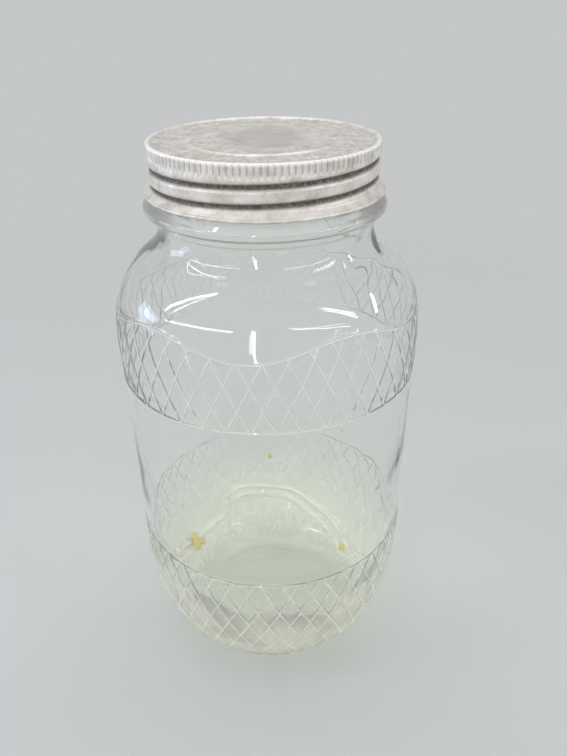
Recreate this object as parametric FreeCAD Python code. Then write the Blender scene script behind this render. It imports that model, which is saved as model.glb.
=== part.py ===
import FreeCAD, Part
import math
import os

Vector = FreeCAD.Vector

# Half-gallon wide-mouth jar of pressed glass with a threaded sheet-metal screw cap.
# Millimetres, Z up, origin on the jar's axis in the plane that it stands on.

# Overall sizes; levels above the label panel hang from the top, those below it stand on the base
overallHeight = 235.0        # to the top of the cap's rim
bodyRadius = 62.5            # at the widest level, just under the shoulder
capRadius = 43.7             # over the knurls

# Body of the jar
widestDrop = 77.0
widestHeight = overallHeight - widestDrop
barrelRadius = 183.0         # gentle swell of the wall through the upper lattice band
shoulderRadius = 38.7        # round of the shoulder
shoulderLift = 8.0
shoulderStart = widestHeight + shoulderLift   # the swell turns into the shoulder here
wallThickness = 3.4

# Plain panel between the two lattice bands
panelTopDrop = 14.2
panelTopHeight = widestHeight - panelTopDrop
panelBottomHeight = 66.9
panelInset = 1.7
panelBottomRadius = bodyRadius - panelInset
ringHeight = 0.45            # how far each border line stands out
ringRadius = 0.75
waveLift = 16.8
waveHeight = widestHeight + waveLift   # mean level of the waving border under the shoulder
waveRise = 3.1
waveCount = 5
waveCrest = -62.0            # direction of one crest, in degrees

# Heel and base
heelHeight = 55.7            # level where the wall starts to turn in
heelInset = 32.56            # half axes of the heel's ellipse
heelDepth = 58.8
heelEnd = 66.0               # degrees of the ellipse used before the foot's round
footWidth = 3.0              # flat ring that the jar stands on
pushUpHeight = 4.5
floorHeight = 8.0            # inside floor at the heel
floorCrown = 1.5
floorInset = 30.0            # how far the inside heel reaches in from the wall

# Screw cap
capSheet = 0.4
capWall = 0.7                # skirt, measured over the knurls
capSkirt = 18.9              # from the rim's crest to the lower edge
rimWidth = 2.1
rimDrop = 0.6                # the field lies this far under the rim's crest
rimRound = 0.5
panelBorder = 15.2
panelRadius = capRadius - panelBorder   # raised round panel in the middle of the top
panelRise = 0.5
panelSlope = 0.6
knurlCount = 120
knurlDepth = 0.3
knurlShare = 0.62            # part of each knurl's pitch that the flute takes
knurlTop = overallHeight - 0.8
knurlBottom = overallHeight - 6.0
grooveRound = 2.0            # round of the rolled thread groove
grooveDepth = 1.2
grooveFrontHeight = overallHeight - 14.0   # the lower turn at the front
grooveStart = -200.0         # degrees round the axis, the front being at -90
grooveEnd = 380.0
grooveFade = 40.0
flareTop = overallHeight - 16.0
curlRadius = 0.65
curlFlare = 2.3
curlReach = capRadius + curlFlare      # outermost radius of the rolled lower edge

# Finish: lip, thread and transfer bead, which fit inside the cap
threadClearance = 0.6
threadDepth = 1.4
finishWall = 3.2
threadPitch = 6.4
threadRound = 1.0
threadCrest = capRadius - capWall - threadClearance
finishRadius = threadCrest - threadDepth
boreRadius = finishRadius - finishWall
lipRound = 0.9
beadReach = 3.1
beadRadius = capRadius + beadReach
beadHeight = overallHeight - 23.8      # middle of the bead's outer face
beadFace = 2.6
beadRound = 1.6
beadSlope = 5.8              # the bead's upper face falls this much, at 45 degrees
neckStep = 1.0
neckRadius = finishRadius + neckStep
neckHeight = overallHeight - 30.5      # level of the narrowest part of the neck
partingStep = 1.2
partingRadius = neckRadius + partingStep   # small ring under the bead
partingTop = beadHeight - beadFace / 2 - 1.3
partingBottom = partingTop - 2.0


def point(radius, height):
    return Vector(radius, 0, height)


def polar(centre, radius, degrees):
    angle = math.radians(degrees)
    return point(centre.x + radius * math.cos(angle), centre.z + radius * math.sin(angle))


def line(start, end):
    return Part.makeLine(start, end)


def arc(centre, radius, startDegrees, endDegrees):
    middle = (startDegrees + endDegrees) / 2
    ends = [polar(centre, radius, degrees) for degrees in (startDegrees, middle, endDegrees)]
    return Part.Arc(*ends).toShape()


def quarterEllipse(centre, inset, depth, degrees):
    # starts vertical at the wall and turns down and in through the given angle
    steps = [math.radians(degrees * step / 12) for step in range(13)]
    places = [point(centre.x + inset * math.cos(a), centre.z - depth * math.sin(a)) for a in steps]
    last = steps[-1]
    startTangent = Vector(0, 0, -1)
    endTangent = Vector(-inset * math.sin(last), 0, -depth * math.cos(last)).normalize()
    curve = Part.BSplineCurve()
    curve.interpolate(Points=places, InitialTangent=startTangent, FinalTangent=endTangent)
    return curve.toShape(), places[-1]


def roundedPath(corners):
    # corners are (radius, height, round); the first and last are plain ends
    edges = []
    cursor = point(*corners[0][:2])
    for before, corner, after in zip(corners, corners[1:], corners[2:]):
        here = point(*corner[:2])
        inward = (point(*before[:2]) - here).normalize()
        outward = (point(*after[:2]) - here).normalize()
        turn = inward.getAngle(outward)
        setback = corner[2] / math.tan(turn / 2)
        start = here + inward * setback
        end = here + outward * setback
        bisector = (inward + outward).normalize()
        middle = here + bisector * (corner[2] / math.sin(turn / 2) - corner[2])
        edges.append(line(cursor, start))
        edges.append(Part.Arc(start, middle, end).toShape())
        cursor = end
    edges.append(line(cursor, point(*corners[-1][:2])))
    return edges


def revolve(edges):
    face = Part.Face(Part.Wire(edges))
    solid = face.revolve(Vector(0, 0, 0), Vector(0, 0, 1), 360)
    if solid.Volume < 0:
        solid.reverse()
    return solid


def closedTurn(edges, start, end):
    # closes a profile that starts and ends on the axis
    return edges + [line(end, start)]


def sweepTube(path, radius):
    spine = Part.Wire([path.toShape()])
    place = path.value(path.FirstParameter)
    along = path.tangent(path.FirstParameter)[0]
    section = Part.Wire([Part.makeCircle(radius, place, along)])
    tube = Part.BRepOffsetAPI.MakePipeShell(spine)
    tube.setBiNormalMode(Vector(0, 0, 1))
    tube.add(section)
    tube.build()
    tube.makeSolid()
    return tube.shape()


def helixPath(radiusAt, heightAt, startDegrees, endDegrees):
    count = max(8, round((endDegrees - startDegrees) / 20))
    step = (endDegrees - startDegrees) / count
    places = []
    for index in range(count + 1):
        degrees = startDegrees + index * step
        angle = math.radians(degrees)
        radius = radiusAt(degrees)
        places.append(Vector(radius * math.cos(angle), radius * math.sin(angle), heightAt(degrees)))
    curve = Part.BSplineCurve()
    curve.interpolate(places)
    return curve


def fade(degrees, start, end, length):
    # 0 at both ends of a thread, 1 along it, with soft ramps
    share = min(degrees - start, end - degrees) / length
    share = max(0.0, min(1.0, share))
    return share * share * (3 - 2 * share)


def grooveHeight(degrees):
    return grooveFrontHeight + threadPitch * (degrees + 90) / 360


def shoulderCircles():
    # centres of the swell, the shoulder and the neck's hollow, each tangent to the next,
    # with the neck's round and the direction in which shoulder and neck meet
    swell = point(bodyRadius - barrelRadius, widestHeight)
    lift = math.degrees(math.asin((shoulderStart - widestHeight) / barrelRadius))
    shoulder = polar(swell, barrelRadius - shoulderRadius, lift)
    reach = neckRadius - shoulder.x
    rise = neckHeight - shoulder.z
    hollow = (reach ** 2 + rise ** 2 - shoulderRadius ** 2) / (2 * (shoulderRadius - reach))
    neck = point(neckRadius + hollow, neckHeight)
    meet = math.degrees(math.atan2(neck.z - shoulder.z, neck.x - shoulder.x))
    return swell, shoulder, neck, hollow, lift, meet


def wallArcs(inset, downTo):
    # neck hollow, shoulder and swell, taken from the top down and set in by inset
    swell, shoulder, neck, hollow, lift, meet = shoulderCircles()
    fall = math.degrees(math.asin((downTo - widestHeight) / (barrelRadius - inset)))
    edges = [
        arc(neck, hollow + inset, 180, 180 + meet),
        arc(shoulder, shoulderRadius - inset, meet, lift),
        arc(swell, barrelRadius - inset, lift, fall),
    ]
    return edges, polar(neck, hollow + inset, 180), polar(swell, barrelRadius - inset, fall)


def bodySurfaceRadius(height):
    # outer radius of the shoulder and the swell at a given height
    swell, shoulder, neck, hollow, lift, meet = shoulderCircles()
    if height > shoulderStart:
        return shoulder.x + math.sqrt(shoulderRadius ** 2 - (height - shoulder.z) ** 2)
    return swell.x + math.sqrt(barrelRadius ** 2 - (height - swell.z) ** 2)


def lipTop():
    return overallHeight - rimDrop - capSheet


def finishEdges():
    beadTop = beadHeight + beadFace / 2
    corners = [
        (finishRadius - lipRound * 2, lipTop(), 0),
        (finishRadius, lipTop(), lipRound),
        (finishRadius, beadTop + beadSlope, 1.0),
        (beadRadius, beadTop, beadRound),
        (beadRadius, beadHeight - beadFace / 2, beadRound),
        (partingRadius, partingTop, 0.7),
        (partingRadius, partingBottom, 0.5),
        (neckRadius, partingBottom - 0.5, 0.4),
        (neckRadius, neckHeight, 0),
    ]
    return roundedPath(corners)


def heelEdges(wallEnd):
    heelTop = point(panelBottomRadius, heelHeight)
    curve, curveEnd = quarterEllipse(
        point(panelBottomRadius - heelInset, heelHeight), heelInset, heelDepth, heelEnd)
    last = math.radians(heelEnd)
    dip = math.degrees(math.atan2(heelDepth * math.cos(last), heelInset * math.sin(last)))
    footRound = curveEnd.z / (1 - math.cos(math.radians(dip)))
    footCentre = point(curveEnd.x - footRound * math.sin(math.radians(dip)), footRound)
    footOuter = point(footCentre.x, 0)
    footInner = point(footCentre.x - footWidth, 0)
    domeRadius = (footInner.x ** 2 + pushUpHeight ** 2) / (2 * pushUpHeight)
    domeCentre = point(0, pushUpHeight - domeRadius)
    domeEdge = math.degrees(math.atan2(-domeCentre.z, footInner.x))
    return [
        line(wallEnd, point(panelBottomRadius, panelBottomHeight)),
        line(point(panelBottomRadius, panelBottomHeight), heelTop),
        curve,
        arc(footCentre, footRound, dip - 90, -90),
        line(footOuter, footInner),
        arc(domeCentre, domeRadius, domeEdge, 90),
    ]


def glassOutside():
    arcs, _, wallEnd = wallArcs(0, panelTopHeight)
    edges = [line(point(0, lipTop()), point(finishRadius - lipRound * 2, lipTop()))]
    edges += finishEdges() + arcs + heelEdges(wallEnd)
    return revolve(closedTurn(edges, point(0, lipTop()), point(0, pushUpHeight)))


def glassInside():
    arcs, neckStart, wallEnd = wallArcs(wallThickness, panelTopHeight)
    innerRadius = panelBottomRadius - wallThickness
    heelCurve, heelEndPoint = quarterEllipse(
        point(innerRadius - floorInset, heelHeight), floorInset, heelHeight - floorHeight, 90)
    crownRadius = (heelEndPoint.x ** 2 + floorCrown ** 2) / (2 * floorCrown)
    crownCentre = point(0, floorHeight + floorCrown - crownRadius)
    crownEdge = math.degrees(math.atan2(floorHeight - crownCentre.z, heelEndPoint.x))
    top = point(0, lipTop())
    mouth = point(boreRadius + lipRound, lipTop())
    edges = [
        line(top, mouth),
        arc(point(boreRadius + lipRound, lipTop() - lipRound), lipRound, 90, 180),
        line(point(boreRadius, lipTop() - lipRound), neckStart),
    ]
    edges += arcs
    edges += [
        line(wallEnd, point(innerRadius, panelBottomHeight)),
        line(point(innerRadius, panelBottomHeight), point(innerRadius, heelHeight)),
        heelCurve,
        arc(crownCentre, crownRadius, crownEdge, 90),
        line(point(0, floorHeight + floorCrown), top),
    ]
    return revolve(edges)


def borderRing(radius, height):
    return Part.makeTorus(radius + ringHeight - ringRadius, ringRadius, Vector(0, 0, height))


def waveBorder():
    # closed border line that waves up and down round the foot of the shoulder,
    # made as equal lengths from crest to crest
    span = 360 / waveCount
    steps = 8
    lengths = []
    for wave in range(waveCount):
        crest = waveCrest + wave * span
        places = []
        for step in range(steps + 1):
            share = step / steps
            height = waveHeight + waveRise * math.cos(math.radians(360 * share))
            radius = bodySurfaceRadius(height) + ringHeight - ringRadius
            angle = math.radians(crest + share * span)
            places.append(Vector(radius * math.cos(angle), radius * math.sin(angle), height))
        curve = Part.BSplineCurve()
        curve.interpolate(
            Points=places,
            InitialTangent=roundTangent(crest),
            FinalTangent=roundTangent(crest + span),
        )
        lengths.append(sweepTube(curve, ringRadius))
    return lengths


def roundTangent(degrees):
    angle = math.radians(degrees)
    return Vector(-math.sin(angle), math.cos(angle), 0)


def glassThread():
    # runs half a pitch above the cap's groove, so that the groove hooks in under it
    start = grooveStart + grooveFade
    end = grooveEnd - grooveFade * 2
    engaged = threadCrest - threadRound
    buried = finishRadius - threadRound - 0.3

    def radiusAt(degrees):
        return buried + (engaged - buried) * fade(degrees, start, end, grooveFade)

    def heightAt(degrees):
        return grooveHeight(degrees) + threadPitch / 2

    return sweepTube(helixPath(radiusAt, heightAt, start, end), threadRound)


def makeJar():
    glass = glassOutside().cut(glassInside())
    rings = [
        borderRing(bodySurfaceRadius(panelTopHeight), panelTopHeight),
        borderRing(panelBottomRadius, panelBottomHeight),
        glassThread(),
    ]
    for ring in rings + waveBorder():
        glass = glass.fuse(ring)
    return glass


def capOutside():
    fieldTop = overallHeight - rimDrop
    curlCentre = point(curlReach - curlRadius, overallHeight - capSkirt + curlRadius)
    corners = [
        (0, fieldTop + panelRise, 0),
        (panelRadius, fieldTop + panelRise, 0.4),
        (panelRadius + panelSlope, fieldTop, 0.4),
        (capRadius - rimWidth, fieldTop, 0.4),
        (capRadius - rimWidth + rimDrop, overallHeight, rimRound),
        (capRadius, overallHeight, rimRound + 0.3),
        (capRadius, flareTop, 1.5),
        (curlCentre.x, curlCentre.z, 0),
    ]
    bottom = point(0, curlCentre.z)
    edges = roundedPath(corners) + [
        line(curlCentre, bottom),
        line(bottom, point(0, fieldTop + panelRise)),
    ]
    return revolve(edges), curlCentre


def capInside(curlCentre):
    underField = overallHeight - rimDrop - capSheet
    innerRadius = capRadius - capWall
    below = curlCentre.z - 2 * curlRadius
    slope = (curlCentre.x - capRadius) / (flareTop - curlCentre.z)
    corners = [
        (0, underField + panelRise),
        (panelRadius - capSheet, underField + panelRise),
        (panelRadius + panelSlope - capSheet, underField),
        (innerRadius, underField),
        (innerRadius, flareTop),
        (innerRadius + slope * (flareTop - below), below),
        (0, below),
    ]
    places = [point(*corner) for corner in corners]
    return revolve([line(a, b) for a, b in zip(places, places[1:] + places[:1])])


def grooveTube(radius):
    def radiusAt(degrees):
        share = fade(degrees, grooveStart, grooveEnd, grooveFade)
        return capRadius + grooveRound + 0.3 - (grooveDepth + 0.3) * share

    return sweepTube(helixPath(radiusAt, grooveHeight, grooveStart, grooveEnd), radius)


def flutedWire(depth, height):
    pitch = 360 / knurlCount
    half = pitch * knurlShare / 2

    def place(degrees, radius):
        angle = math.radians(degrees)
        return Vector(radius * math.cos(angle), radius * math.sin(angle), height)

    edges = []
    for index in range(knurlCount):
        middle = index * pitch
        before = place(middle - half, capRadius)
        after = place(middle + half, capRadius)
        flute = (before, place(middle, capRadius - depth), after)
        land = (after, place(middle + pitch / 2, capRadius), place(middle + pitch - half, capRadius))
        edges.append(Part.Arc(*flute).toShape())
        edges.append(Part.Arc(*land).toShape())
    return Part.Wire(edges)


def knurledBlank(outside):
    # the flutes are deepest under the rim and run out at the foot of the band
    reach = 2 * capRadius
    below = Part.makeCylinder(reach, knurlBottom, Vector(0, 0, 0))
    above = Part.makeCylinder(reach, knurlBottom, Vector(0, 0, knurlTop))
    wires = [flutedWire(0, knurlBottom), flutedWire(knurlDepth, knurlTop)]
    band = Part.makeLoft(wires, True, True)
    return outside.common(below).fuse(band).fuse(outside.common(above))


def makeCap():
    outside, curlCentre = capOutside()
    cavity = capInside(curlCentre).cut(grooveTube(grooveRound + capSheet))
    curl = Part.makeTorus(curlCentre.x, curlRadius, Vector(0, 0, curlCentre.z))
    shell = knurledBlank(outside).cut(grooveTube(grooveRound)).cut(cavity)
    return shell.fuse(curl)


def writePart(name, shape):
    solids = shape.Solids
    assert len(solids) == 1 and solids[0].isValid(), name
    os.makedirs("parts", exist_ok=True)
    solids[0].exportStep("parts/" + name + ".step")
    box = solids[0].BoundBox
    print(name, "volume cm3", round(solids[0].Volume / 1000, 1), "faces", len(solids[0].Faces))
    print("height", round(box.ZMin, 2), round(box.ZMax, 2), "across", round(box.XMin, 2), round(box.XMax, 2))


writePart("jar", makeJar())
writePart("cap", makeCap())
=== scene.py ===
import math
import random

import bmesh
import bpy
import numpy as np
from mathutils import Matrix, Vector


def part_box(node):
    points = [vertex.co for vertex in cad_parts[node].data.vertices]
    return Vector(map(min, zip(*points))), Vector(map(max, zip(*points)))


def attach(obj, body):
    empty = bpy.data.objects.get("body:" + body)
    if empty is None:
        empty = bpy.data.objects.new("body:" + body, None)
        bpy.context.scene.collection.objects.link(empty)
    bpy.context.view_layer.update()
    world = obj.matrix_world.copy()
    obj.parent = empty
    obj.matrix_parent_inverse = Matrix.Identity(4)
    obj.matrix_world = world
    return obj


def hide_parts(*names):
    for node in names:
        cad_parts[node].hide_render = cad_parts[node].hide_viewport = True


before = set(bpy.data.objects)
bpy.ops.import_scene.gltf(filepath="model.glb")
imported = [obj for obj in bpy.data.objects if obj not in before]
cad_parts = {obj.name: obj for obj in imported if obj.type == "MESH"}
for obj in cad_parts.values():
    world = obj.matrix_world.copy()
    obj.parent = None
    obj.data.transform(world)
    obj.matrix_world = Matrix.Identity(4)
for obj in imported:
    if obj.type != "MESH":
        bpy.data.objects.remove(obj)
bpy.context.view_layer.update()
mm = 0.001

jarHigh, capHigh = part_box("jar")[1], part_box("cap")[1]
ribAllowance = 0.35                     # the lattice ribs stand out to the full width
overallHeight = capHigh[2] / mm
lipTop = jarHigh[2] / mm
bodyRadius = jarHigh[0] / mm - ribAllowance


def toLinear(code):
    # sRGB hex to the linear colour that shaders use
    values = [int(code[i:i + 2], 16) / 255 for i in (1, 3, 5)]
    return tuple(v / 12.92 if v <= 0.04045 else ((v + 0.055) / 1.055) ** 2.4 for v in values) + (1.0,)


def addNode(tree, kind, settings=None, **links):
    # a node with its settings and values, and sockets named in links fed from other nodes
    node = tree.nodes.new(kind)
    for name, value in (settings or {}).items():
        if hasattr(node, name):
            setattr(node, name, value)
        else:
            node.inputs[name].default_value = value
    for name, source in links.items():
        numbered = name[0] == "i" and name[1:].isdigit()
        socket = int(name[1:]) if numbered else name.replace("_", " ")
        tree.links.new(source, node.inputs[socket])
    return node


def newMaterial(name):
    material = bpy.data.materials.new(name)
    material.use_nodes = True
    tree = material.node_tree
    tree.nodes.clear()
    return material, tree


def smoothStep(low, high, value):
    share = np.clip((value - low) / (high - low), 0, 1)
    return share * share * (3 - 2 * share)


def bump(distance, halfWidth):
    # rounded ridge section, 1 on its line and 0 past its half width
    share = np.clip(np.abs(distance) / halfWidth, 0, 1)
    return 0.5 + 0.5 * np.cos(math.pi * share)


def waves(angle, height, seed, count, turns, perMetre):
    # slow unevenness of hand-fed glass or thin sheet, closed round the axis
    rng = random.Random(seed)
    total = np.zeros(np.broadcast(angle, height).shape)
    for _ in range(count):
        around = rng.randint(0, turns)
        along = rng.uniform(-perMetre, perMetre) * 2 * math.pi * mm
        total = total + np.cos(around * angle + along * height + rng.uniform(0, 2 * math.pi))
    return total / math.sqrt(count)


def roundedPath(corners, arcSteps=5):
    # corners are (radius, height, round); gives points with each corner rounded
    points = [np.array(corners[0][:2], float)]
    for before, corner, after in zip(corners, corners[1:], corners[2:]):
        here = np.array(corner[:2], float)
        inward = np.array(before[:2], float) - here
        outward = np.array(after[:2], float) - here
        inward /= np.linalg.norm(inward)
        outward /= np.linalg.norm(outward)
        if corner[2] <= 0:
            points.append(here)
            continue
        turn = math.acos(np.clip(inward @ outward, -1, 1))
        setback = corner[2] / math.tan(turn / 2)
        bisector = (inward + outward) / np.linalg.norm(inward + outward)
        centre = here + bisector * corner[2] / math.sin(turn / 2)
        start = here + inward * setback - centre
        end = here + outward * setback - centre
        sweep = math.pi - turn
        for step in range(arcSteps + 1):
            share = step / arcSteps
            fromStart, fromEnd = math.sin((1 - share) * sweep), math.sin(share * sweep)
            points.append(centre + (start * fromStart + end * fromEnd) / math.sin(sweep))
    points.append(np.array(corners[-1][:2], float))
    return points


def arcPoints(centre, radius, startDegrees, endDegrees, steps):
    angles = np.radians(np.linspace(startDegrees, endDegrees, steps + 1))
    return [np.array([centre[0] + radius * math.cos(a), centre[1] + radius * math.sin(a)]) for a in angles]


def linePoints(start, end, steps):
    return [np.array(start) + (np.array(end) - np.array(start)) * i / steps for i in range(1, steps + 1)]


# The glass body
glassSizes = {
    "widestHeight": 158.0,
    "barrelRadius": 183.0,
    "shoulderRadius": 38.7,
    "shoulderStart": 166.0,
    "neckRadius": 42.0,
    "neckHeight": 204.5,
    "wallThickness": 3.4,
    "panelTop": 143.8,
    "panelBottom": 66.9,
    "panelRadius": 60.8,
    "heelHeight": 55.7,
    "heelInset": 32.56,
    "heelDepth": 58.8,
    "heelEnd": 66.0,
    "footWidth": 3.0,
    "pushUp": 4.5,
    "floorHeight": 8.0,
    "floorCrown": 1.5,
    "floorInset": 30.0,
    "boreRadius": 37.8,
    "finishRadius": 41.0,
    "lipRound": 0.9,
    "beadRadius": 46.8,
    "beadHeight": 211.2,
    "beadFace": 2.6,
    "beadSlope": 5.8,
    "partingRadius": 43.2,
    "threadPitch": 6.4,
    "threadHeight": 1.3,
    "threadHalfWidth": 1.2,
    "grooveFrontHeight": 221.0,
    "unevenOutside": 0.05,
    "unevenInside": 0.32,      # slow waves of the inside wall
    "unevenNeck": 0.22,        # shorter waves where the glass was drawn in
    "unevenHeel": 1.1,         # thick and thin places where the glass settled
    "foldRise": 1.9,           # chill wrinkle that wanders round the heel inside, as two small ridges
    "foldHalfWidth": 1.8,
    "foldGap": 4.2,
    "foldPlaces": ((0, 21), (20, 17), (47, 21), (64, 24), (78, 27.5), (96, 29), (112, 31), (121, 28.5),
                   (125, 20.5), (149, 19), (165, 23), (178, 29), (215, 24), (260, 20), (310, 24), (340, 22)),
}

latticeSizes = {
    "ribs": 42,                # each way round the jar
    "crossing": -88.0,         # direction of one crossing on the upper band's lower line
    "ribHeight": 0.30,
    "faintDirection": 98.0,    # the mould was worn here, so that the ribs came out shallow
    "faintWidth": 52.0,
    "faintShare": 0.75,
    "ribHalfWidth": 0.62,
    "borderHeight": 0.40,
    "borderHalfWidth": 0.75,
    "upperCell": 9.6,          # half a diamond's height
    "upperLevels": 4,
    "waveHeight": 174.8,
    "waveRise": 3.1,
    "waveCount": 5,
    "waveCrest": -62.0,
    "lowerLevels": 8,
    "lowerLift": 1.95,         # the lower band's first crossings lie this far above its border
    # places across one cell, close together where a rib's round needs them
    "steps": (0, 0.022, 0.045, 0.075, 0.14, 0.3, 0.5, 0.7, 0.86, 0.925, 0.955, 0.978),
}


def glassCircles():
    g = glassSizes
    swell = (bodyRadius - g["barrelRadius"], g["widestHeight"])
    lift = math.degrees(math.asin((g["shoulderStart"] - g["widestHeight"]) / g["barrelRadius"]))
    reach = g["barrelRadius"] - g["shoulderRadius"]
    shoulder = (swell[0] + reach * math.cos(math.radians(lift)),
                swell[1] + reach * math.sin(math.radians(lift)))
    across = g["neckRadius"] - shoulder[0]
    rise = g["neckHeight"] - shoulder[1]
    hollow = (across ** 2 + rise ** 2 - g["shoulderRadius"] ** 2) / (2 * (g["shoulderRadius"] - across))
    neck = (g["neckRadius"] + hollow, g["neckHeight"])
    meet = math.degrees(math.atan2(neck[1] - shoulder[1], neck[0] - shoulder[0]))
    fall = math.degrees(math.asin((g["panelTop"] - g["widestHeight"]) / g["barrelRadius"]))
    return swell, shoulder, neck, hollow, lift, meet, fall


def outerProfile():
    # from the lip's top down to the middle of the base, with the finish apart
    g = glassSizes
    swell, shoulder, neck, hollow, lift, meet, fall = glassCircles()
    beadTop = g["beadHeight"] + g["beadFace"] / 2
    threadZone = [(g["finishRadius"], lipTop - 1.9 - 0.5 * i, 0) for i in range(27)]
    finish = roundedPath([
        (g["finishRadius"] - 2 * g["lipRound"], lipTop, 0),
        (g["finishRadius"], lipTop, g["lipRound"]),
        *threadZone,
        (g["finishRadius"], beadTop + g["beadSlope"], 0.5),
        (g["beadRadius"], beadTop, 1.6),
        (g["beadRadius"], g["beadHeight"] - g["beadFace"] / 2, 1.6),
        (g["partingRadius"], 208.6, 0.7),
        (g["partingRadius"], 206.6, 0.5),
        (g["neckRadius"], 206.1, 0.4),
        (g["neckRadius"], g["neckHeight"], 0),
    ])
    body = arcPoints(neck, hollow, 180, 180 + meet, 40)[1:]
    body += arcPoints(shoulder, g["shoulderRadius"], meet, lift, 160)[1:]
    body += arcPoints(swell, g["barrelRadius"], lift, fall, 80)[1:]
    body += linePoints(body[-1], (g["panelRadius"], g["panelBottom"]), 100)
    body += linePoints(body[-1], (g["panelRadius"], g["heelHeight"]), 30)
    middle = g["panelRadius"] - g["heelInset"]
    for t in np.radians(np.linspace(0, g["heelEnd"], 201)[1:]):
        body.append(np.array([middle + g["heelInset"] * math.cos(t),
                              g["heelHeight"] - g["heelDepth"] * math.sin(t)]))
    last = math.radians(g["heelEnd"])
    dip = math.degrees(math.atan2(g["heelDepth"] * math.cos(last), g["heelInset"] * math.sin(last)))
    footRound = body[-1][1] / (1 - math.cos(math.radians(dip)))
    footCentre = (body[-1][0] - footRound * math.sin(math.radians(dip)), footRound)
    foot = arcPoints(footCentre, footRound, dip - 90, -90, 10)[1:]
    inner = footCentre[0] - g["footWidth"]
    foot += linePoints(foot[-1], (inner, 0.0), 2)
    domeRadius = (inner ** 2 + g["pushUp"] ** 2) / (2 * g["pushUp"])
    domeEdge = math.degrees(math.atan2(domeRadius - g["pushUp"], inner))
    foot += arcPoints((0, g["pushUp"] - domeRadius), domeRadius, domeEdge, 89.7, 14)[1:]
    return finish, body, foot


def innerProfile():
    # from the middle of the floor up to the mouth
    g = glassSizes
    swell, shoulder, neck, hollow, lift, meet, fall = glassCircles()
    wall = g["wallThickness"]
    innerRadius = g["panelRadius"] - wall
    flat = innerRadius - g["floorInset"]
    crown = (flat ** 2 + g["floorCrown"] ** 2) / (2 * g["floorCrown"])
    crownEdge = math.degrees(math.atan2(crown - g["floorCrown"], flat))
    points = arcPoints((0, g["floorHeight"] + g["floorCrown"] - crown), crown, 89.4, crownEdge, 14)
    depth = g["heelHeight"] - g["floorHeight"]
    for t in np.radians(np.linspace(90, 0, 111)[1:]):
        points.append(np.array([flat + g["floorInset"] * math.cos(t), g["heelHeight"] - depth * math.sin(t)]))
    points += linePoints(points[-1], (innerRadius, g["panelBottom"]), 3)
    up = arcPoints(swell, g["barrelRadius"] - wall, fall, lift, 8)
    points += linePoints(points[-1], up[0], 26) + up[1:]
    points += arcPoints(shoulder, g["shoulderRadius"] - wall, lift, meet, 16)[1:]
    points += arcPoints(neck, hollow + wall, 180 + meet, 180, 6)[1:]
    points += linePoints(points[-1], (g["boreRadius"], lipTop - g["lipRound"]), 8)
    points += arcPoints((g["boreRadius"] + g["lipRound"], lipTop - g["lipRound"]), g["lipRound"],
                        180, 90, 4)[1:]
    return points


class Profile:
    # a run of points that can be asked for place and outward direction at any length along it
    def __init__(self, points):
        self.points = np.array(points)
        steps = np.linalg.norm(np.diff(self.points, axis=0), axis=1)
        self.length = np.concatenate([[0], np.cumsum(steps)])
        along = np.gradient(self.points, self.length, axis=0)
        along /= np.linalg.norm(along, axis=1)[:, None]
        self.outward = np.stack([-along[:, 1], along[:, 0]], 1)

    def at(self, length):
        place = [np.interp(length, self.length, self.points[:, i]) for i in (0, 1)]
        out = [np.interp(length, self.length, self.outward[:, i]) for i in (0, 1)]
        return place[0], place[1], out[0], out[1]

    def lengthAtHeight(self, height):
        return float(np.interp(-height, -self.points[:, 1], self.length))


def threadRidge(angle, height):
    # raised thread on the finish, half a pitch above the cap's groove
    g = glassSizes
    total = np.zeros_like(height)
    for turn in (-1, 0, 1):
        degrees = np.degrees(angle) + 360 * turn
        middle = g["grooveFrontHeight"] + g["threadPitch"] * ((degrees + 90) / 360 + 0.5)
        ends = smoothStep(-160, -120, degrees) * (1 - smoothStep(260, 300, degrees))
        total = np.maximum(total, ends * bump(height - middle, g["threadHalfWidth"]))
    return total * g["threadHeight"]


def ringGrid(rows, angles, lift, value=None):
    # rows of (radius, height, outRadius, outHeight) turned round the axis
    radius, height, outRadius, outHeight = [np.array(column)[:, None] for column in zip(*rows)]
    angle = angles[None, :]
    heights = height + 0 * angle
    rise = lift(angle, heights)
    across = radius + outRadius * rise
    up = height + outHeight * rise
    verts = np.stack([across * np.cos(angle), across * np.sin(angle), up + 0 * angle], 2)
    count = len(angles)
    faces = []
    for row in range(len(rows) - 1):
        for column in range(count):
            after = (column + 1) % count
            low, high = row * count, (row + 1) * count
            faces.append((low + column, low + after, high + after, high + column))
    return verts.reshape(-1, 3), faces, (value(angle, heights) if value else 0 * heights).ravel()


def latticeFlat(levels):
    # diamond cells laid flat: x in rib pitches round the jar, y in half diamonds upward
    steps = list(latticeSizes["steps"]) + [1.0]
    size = len(steps)
    ribs = latticeSizes["ribs"]
    verts = []
    faces = []
    for level in range(levels + 1):
        for start in range(ribs):
            base = len(verts)
            for u in steps:
                for v in steps:
                    p, q = start + level + u, start + v
                    verts.append(((p + q) / 2, p - q))
            for u in range(size - 1):
                for v in range(size - 1):
                    low = base + u * size + v
                    right, both, left = low + size, low + size + 1, low + 1
                    if level == 0 and u < v or level == levels and u > v:
                        continue
                    if level == 0 and u == v:
                        faces.append((low, right, both))
                    elif level == levels and u == v:
                        faces.append((low, both, left))
                    else:
                        faces.append((low, right, both, left))
    return np.array(verts), faces


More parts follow.
